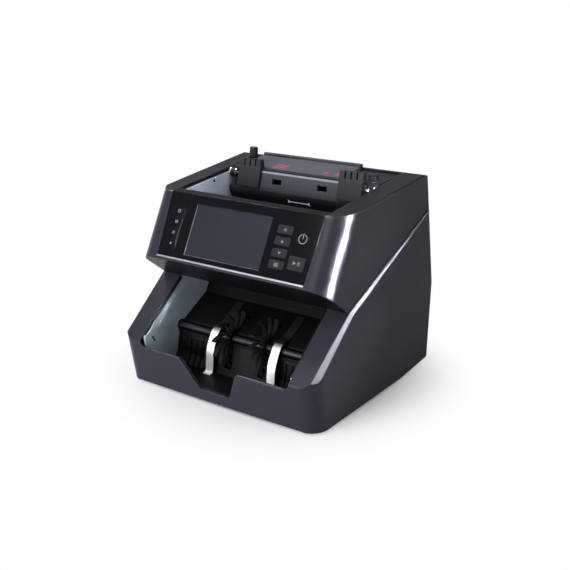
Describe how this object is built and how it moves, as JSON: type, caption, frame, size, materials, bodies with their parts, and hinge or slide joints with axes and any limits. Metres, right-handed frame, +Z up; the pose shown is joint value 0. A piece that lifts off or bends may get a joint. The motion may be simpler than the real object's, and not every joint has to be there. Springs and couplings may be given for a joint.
{
  "type": "banknote counter",
  "caption": "Desktop banknote counter with a top hopper, leaning display panel, notched front stacker pocket with vane wheels, sliding note guides and a hinged rear hatch.",
  "frame": {"origin": "on the floor under the middle of the overall box", "axes": "+X to the right as the user sees the front, +Y from the front to the back, +Z up"},
  "size_m": [0.28, 0.28, 0.27],
  "materials": {
    "housing": "satin moulded ABS, graphite",
    "gloss_black": "polished black",
    "key_plastic": "fine texture",
    "display": "glassy, unlit",
    "trim_silver": "satin silver",
    "circuit_board": "solder mask",
    "plate_steel": "zinc plated",
    "chrome": "polished",
    "strip_steel": "bright polished",
    "dark_steel": "blackened",
    "black_plastic": "fine texture",
    "gate_plastic": "satin",
    "guide_plastic": "satin",
    "cover_plastic": "satin",
    "cover_plate": "satin grey",
    "rubber": "matte",
    "bush_brass": "sintered",
    "motor_steel": "plated can",
    "switch_red": "moulded red"
  },
  "bodies": {
    "chassis": {"lower_housing": "housing", "upper_housing": "housing", "control_panel": "gloss_black", "display_lens": "display", "trim_strip": "trim_silver", "display_board": "circuit_board", "main_board": "circuit_board", "left_side_plate": "plate_steel", "right_side_plate": "plate_steel", "base_pan": "plate_steel", "guide_strips": "strip_steel", "tie_rods": "chrome", "gate_pins": "chrome", "hinge_pins": "chrome", "pan_screws": "chrome", "stacker_back": "black_plastic", "stacker_floor": "black_plastic", "exit_guide": "black_plastic", "hopper_floor": "black_plastic", "power_inlet": "black_plastic", "switch_frame": "black_plastic", "feed_gate": "gate_plastic", "top_cover": "cover_plastic", "top_plate": "cover_plate", "rubber_feet": "rubber", "main_belt": "rubber", "feed_belt": "rubber", "pickup_belt": "rubber", "stacker_belt": "rubber", "shaft_bushes": "bush_brass", "main_motor": "motor_steel", "stacker_motor": "motor_steel", "power_supply": "motor_steel"},
    "stacker_rotor": {"stacker_shaft": "dark_steel", "stacker_wheels": "rubber", "stacker_pulley": "black_plastic"},
    "stacker_motor_rotor": {"stacker_motor_pulley": "chrome"},
    "drum": {"drum_shaft": "chrome", "drum_wheels": "rubber"},
    "feed_roller": {"feed_shaft": "chrome", "feed_rollers": "rubber"},
    "pickup_roller": {"pickup_shaft": "chrome", "pickup_rollers": "rubber"},
    "main_motor_rotor": {"motor_pulley": "chrome"},
    "left_key_1": {"left_key_1": "gloss_black"},
    "left_key_2": {"left_key_2": "gloss_black"},
    "left_key_3": {"left_key_3": "gloss_black"},
    "left_key_4": {"left_key_4": "gloss_black"},
    "right_key_1": {"right_key_1": "key_plastic"},
    "right_key_2": {"right_key_2": "key_plastic"},
    "right_key_3": {"right_key_3": "key_plastic"},
    "right_key_4": {"right_key_4": "key_plastic"},
    "power_key": {"power_key": "gloss_black"},
    "start_key": {"start_key": "key_plastic"},
    "left_note_guide": {"left_note_guide": "guide_plastic"},
    "right_note_guide": {"right_note_guide": "guide_plastic"},
    "release_lever": {"release_lever": "black_plastic"},
    "gap_screw": {"gap_screw": "chrome"},
    "power_switch": {"power_switch": "switch_red"},
    "rear_hatch": {"rear_hatch": "housing"}
  },
  "joints": [
    {"name": "left_key_1_press", "type": "slide", "parent": "chassis", "child": "left_key_1", "axis": [0, 0.8886, -0.4587], "range_m": [0, 0.0006], "stiffness_N_per_m": 800, "springref_m": -0.0006},
    {"name": "left_key_2_press", "type": "slide", "parent": "chassis", "child": "left_key_2", "axis": [0, 0.8886, -0.4587], "range_m": [0, 0.0006], "stiffness_N_per_m": 800, "springref_m": -0.0006},
    {"name": "left_key_3_press", "type": "slide", "parent": "chassis", "child": "left_key_3", "axis": [0, 0.8886, -0.4587], "range_m": [0, 0.0006], "stiffness_N_per_m": 800, "springref_m": -0.0006},
    {"name": "left_key_4_press", "type": "slide", "parent": "chassis", "child": "left_key_4", "axis": [0, 0.8886, -0.4587], "range_m": [0, 0.0006], "stiffness_N_per_m": 800, "springref_m": -0.0006},
    {"name": "right_key_1_press", "type": "slide", "parent": "chassis", "child": "right_key_1", "axis": [0, 0.8886, -0.4587], "range_m": [0, 0.0006], "stiffness_N_per_m": 800, "springref_m": -0.0006},
    {"name": "right_key_2_press", "type": "slide", "parent": "chassis", "child": "right_key_2", "axis": [0, 0.8886, -0.4587], "range_m": [0, 0.0006], "stiffness_N_per_m": 800, "springref_m": -0.0006},
    {"name": "right_key_3_press", "type": "slide", "parent": "chassis", "child": "right_key_3", "axis": [0, 0.8886, -0.4587], "range_m": [0, 0.0006], "stiffness_N_per_m": 800, "springref_m": -0.0006},
    {"name": "right_key_4_press", "type": "slide", "parent": "chassis", "child": "right_key_4", "axis": [0, 0.8886, -0.4587], "range_m": [0, 0.0006], "stiffness_N_per_m": 800, "springref_m": -0.0006},
    {"name": "power_key_press", "type": "slide", "parent": "chassis", "child": "power_key", "axis": [0, 0.8886, -0.4587], "range_m": [0, 0.0006], "stiffness_N_per_m": 800, "springref_m": -0.0006},
    {"name": "start_key_press", "type": "slide", "parent": "chassis", "child": "start_key", "axis": [0, 0.8886, -0.4587], "range_m": [0, 0.0006], "stiffness_N_per_m": 800, "springref_m": -0.0006},
    {"name": "left_guide_slide", "type": "slide", "parent": "chassis", "child": "left_note_guide", "axis": [1, 0, 0], "range_m": [-0.006, 0.03]},
    {"name": "right_guide_slide", "type": "slide", "parent": "chassis", "child": "right_note_guide", "axis": [1, 0, 0], "range_m": [-0.03, 0.006]},
    {"name": "lever_pivot", "type": "hinge", "parent": "chassis", "child": "release_lever", "pos_m": [-0.082, 0.05437, 0.239], "axis": [-1, 0, 0], "range_deg": [0, 25], "stiffness_Nm_per_rad": 0.1, "springref_deg": -11.46},
    {"name": "gap_screw_turn", "type": "hinge", "parent": "chassis", "child": "gap_screw", "pos_m": [0.096, 0.05407, 0.246], "axis": [0, 0, 1], "range_deg": [-180, 180]},
    {"name": "switch_rock", "type": "hinge", "parent": "chassis", "child": "power_switch", "pos_m": [0.026, 0.13495, 0.02708], "axis": [0, -0.04, -0.9992], "range_deg": [0, 12]},
    {"name": "hatch_hinge", "type": "hinge", "parent": "chassis", "child": "rear_hatch", "pos_m": [0, 0.13317, 0.0487], "axis": [-1, 0, 0], "range_deg": [0, 70]},
    {"name": "drum_spin", "type": "hinge", "parent": "chassis", "child": "drum", "pos_m": [0, 0.03737, 0.1295], "axis": [1, 0, 0], "continuous": true},
    {"name": "feed_spin", "type": "hinge", "parent": "chassis", "child": "feed_roller", "pos_m": [0, 0.05737, 0.1725], "axis": [1, 0, 0], "continuous": true},
    {"name": "pickup_spin", "type": "hinge", "parent": "chassis", "child": "pickup_roller", "pos_m": [0, 0.00137, 0.1925], "axis": [1, 0, 0], "continuous": true},
    {"name": "main_motor_spin", "type": "hinge", "parent": "chassis", "child": "main_motor_rotor", "pos_m": [0, 0.07337, 0.0745], "axis": [1, 0, 0], "continuous": true},
    {"name": "stacker_spin", "type": "hinge", "parent": "chassis", "child": "stacker_rotor", "pos_m": [0, -0.06663, 0.06], "axis": [1, 0, 0], "continuous": true},
    {"name": "stacker_motor_spin", "type": "hinge", "parent": "chassis", "child": "stacker_motor_rotor", "pos_m": [0, 0.00937, 0.04], "axis": [1, 0, 0], "continuous": true}
  ],
  "couplings": [
    {"joint": "feed_spin", "follows": "drum_spin", "ratio": 1},
    {"joint": "pickup_spin", "follows": "drum_spin", "ratio": 1},
    {"joint": "main_motor_spin", "follows": "drum_spin", "ratio": 2},
    {"joint": "stacker_motor_spin", "follows": "stacker_spin", "ratio": 1}
  ]
}
